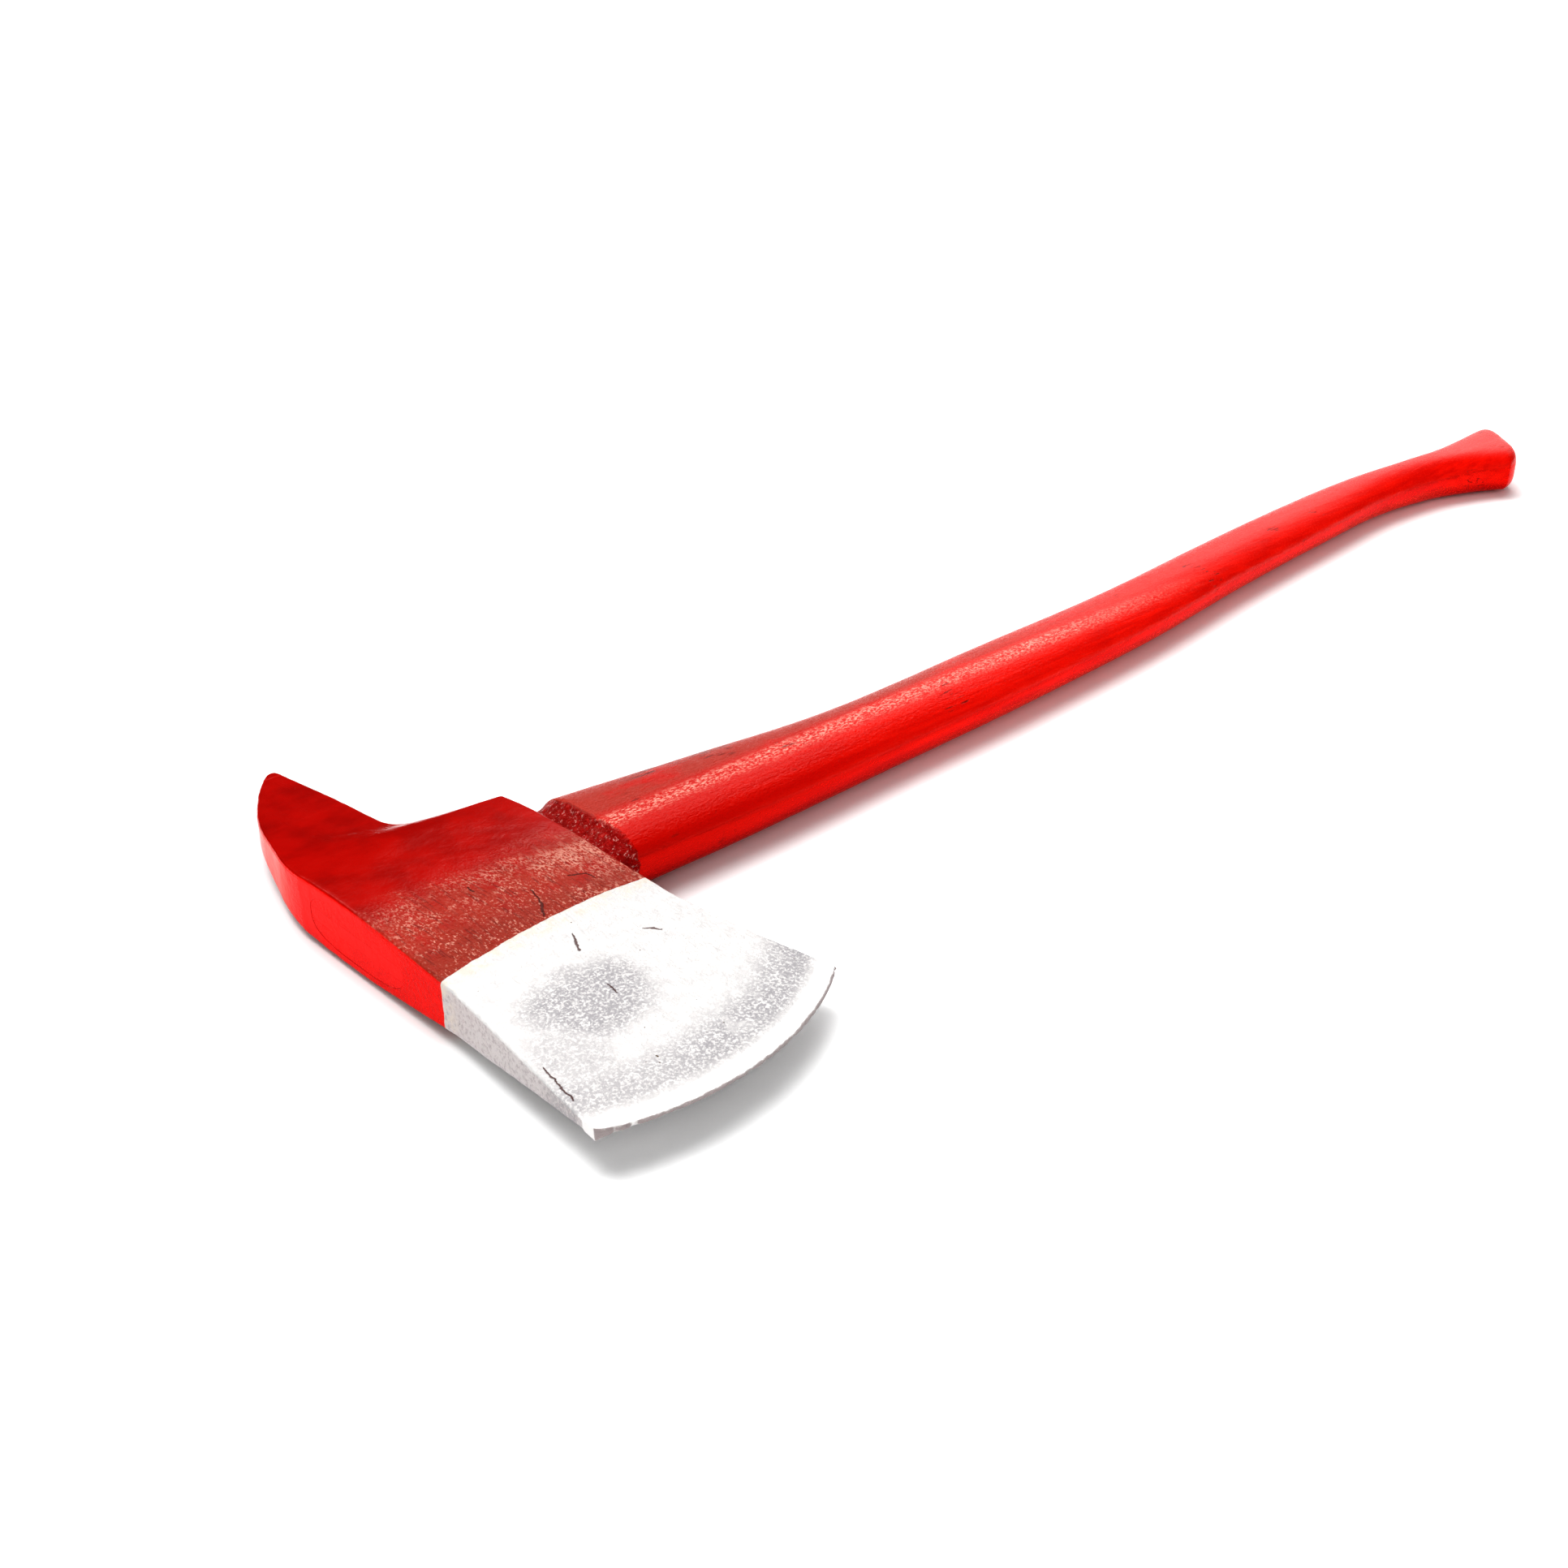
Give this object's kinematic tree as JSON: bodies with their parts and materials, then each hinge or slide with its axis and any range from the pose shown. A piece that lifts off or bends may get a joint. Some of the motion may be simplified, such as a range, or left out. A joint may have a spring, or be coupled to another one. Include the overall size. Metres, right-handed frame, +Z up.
{
  "type": "fire axe",
  "caption": "Pick-head fire axe: forged steel head with a curved cutting bit and a hooked pick, on a curved wooden handle with a flared end.",
  "frame": {"origin": "centre of the underside of the bounding box, on the surface that the axe lies on", "axes": "+X from the head to the handle's knob, +Y towards the pick, -Y towards the cutting edge, +Z up, square to the head's cheeks"},
  "size_m": [0.947, 0.2976, 0.0288],
  "materials": {
    "head_paint": "brush-applied gloss red enamel over forged steel, silver aluminium paint on the bit, chips and file lines showing through",
    "handle_paint": "red enamel over hardwood, long grain lines and small cracks showing through",
    "wedge_wood": "bare softwood, its end painted red with the head",
    "wedge_steel": "bare mild steel, its end painted red with the head"
  },
  "bodies": {
    "root": {"axe_head": "head_paint", "handle": "handle_paint", "wooden_wedge": "wedge_wood", "steel_wedge_1": "wedge_steel", "steel_wedge_2": "wedge_steel"}
  },
  "joints": []
}
